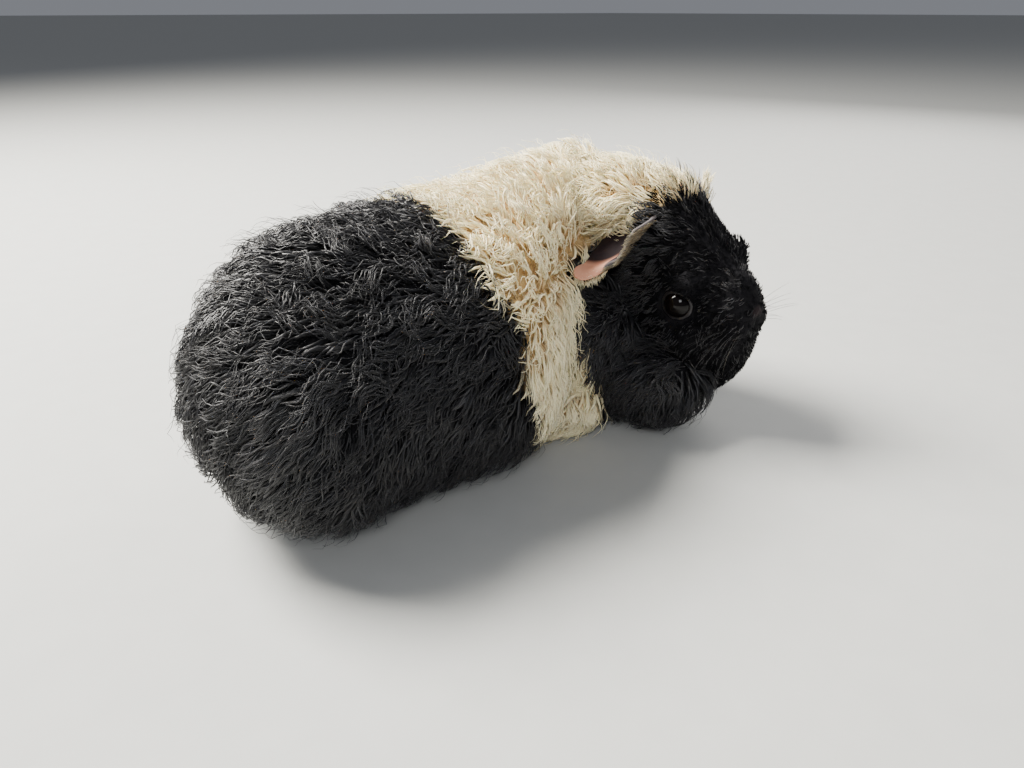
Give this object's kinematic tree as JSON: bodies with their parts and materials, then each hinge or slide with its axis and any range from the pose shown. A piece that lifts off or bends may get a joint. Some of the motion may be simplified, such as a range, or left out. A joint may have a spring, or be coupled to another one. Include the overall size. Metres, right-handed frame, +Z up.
{
  "type": "texel guinea pig, life-size still model",
  "caption": "Life-size still model of a young texel guinea pig, crouched with its head turned to its right, with a curly black and cream coat.",
  "frame": {"origin": "centre of the model's box at the level of the soles, on the floor", "axes": "+X runs from the rump to the shoulders, +Y to the animal's left, +Z up"},
  "size_m": [0.179, 0.1026, 0.0889],
  "materials": {
    "black_coat": "soft black curls with a bluish grey sheen",
    "cream_coat": "soft cream curls",
    "ear_skin": "bare skin, pink to dark brown",
    "eye": "wet, glossy black"
  },
  "bodies": {
    "root": {"torso_rear": "black_coat", "torso_front": "cream_coat", "neck": "cream_coat", "head": "black_coat", "ear_left": "ear_skin", "ear_right": "ear_skin", "eye_left": "eye", "eye_right": "eye", "foreleg_left": "cream_coat", "foreleg_right": "cream_coat", "hindleg_left": "black_coat", "hindleg_right": "black_coat"}
  },
  "joints": []
}
